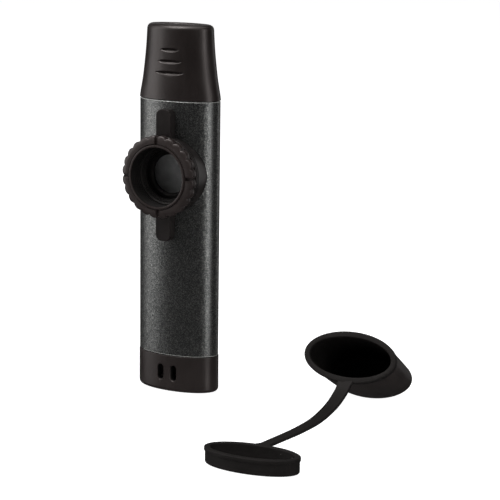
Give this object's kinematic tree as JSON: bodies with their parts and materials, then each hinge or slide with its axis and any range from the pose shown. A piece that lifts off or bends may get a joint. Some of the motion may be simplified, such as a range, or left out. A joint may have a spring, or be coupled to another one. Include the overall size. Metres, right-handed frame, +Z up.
{
  "type": "kazoo whistle",
  "caption": "Flat oval hummed membrane whistle with a round screw-adjusted membrane turret on its front, a flared mouthpiece and a loose mouthpiece cover on a strap.",
  "frame": {"origin": "middle of the base cap's flat foot, on the surface the whistle stands on", "axes": "+Z up the whistle towards the mouthpiece, +X to the whistle's right as the turret is faced, the turret faces -Y; the loose cover set lies on the +X side"},
  "size_m": [0.0921, 0.0978, 0.12],
  "materials": {
    "blasted_shell": "dark grit-blasted, anodised",
    "grip_plastic": "satin",
    "turret_plastic": "satin",
    "ring_plastic": "satin gloss",
    "washer_plastic": "smooth",
    "membrane_film": "dark semi-gloss film",
    "seal_rubber": "smooth",
    "cover_rubber": "matt moulded"
  },
  "bodies": {
    "whistle": {"body_tube": "blasted_shell", "mouthpiece": "grip_plastic", "mouthpiece_seal": "seal_rubber", "base_cap": "grip_plastic", "base_seal": "seal_rubber", "turret_saddle": "turret_plastic", "saddle_gasket": "seal_rubber", "turret_retainer": "turret_plastic", "membrane_seat": "seal_rubber", "membrane": "membrane_film", "membrane_frame": "turret_plastic"},
    "sleeve": {"tension_sleeve": "turret_plastic", "glide_washer": "washer_plastic"},
    "ring": {"tuning_ring": "ring_plastic"},
    "keeper": {"keeper_ring": "cover_rubber", "cover_strap": "cover_rubber"},
    "cover": {"cover_cap": "cover_rubber"}
  },
  "joints": [
    {"name": "sleeve_slide", "type": "slide", "parent": "whistle", "child": "sleeve", "axis": [0, -1, 0], "range_m": [-0.0005, 0.0005]},
    {"name": "tuning_ring_turn", "type": "hinge", "parent": "sleeve", "child": "ring", "pos_m": [0, -0.0128, 0.0721], "axis": [0, -1, 0], "range_deg": [-180, 180]},
    {"name": "cover_set_lift", "type": "slide", "parent": "whistle", "child": "keeper", "axis": [0, 0, 1], "range_m": [0, 0.13]},
    {"name": "strap_bend", "type": "hinge", "parent": "keeper", "child": "cover", "pos_m": [0.0622, -0.028, 0.0031], "axis": [1, 0, 0], "range_deg": [0, 60], "deforming": ["cover_strap"]}
  ],
  "couplings": [
    {"joint": "tuning_ring_turn", "follows": "sleeve_slide", "rad_per_m": 6283.2}
  ]
}
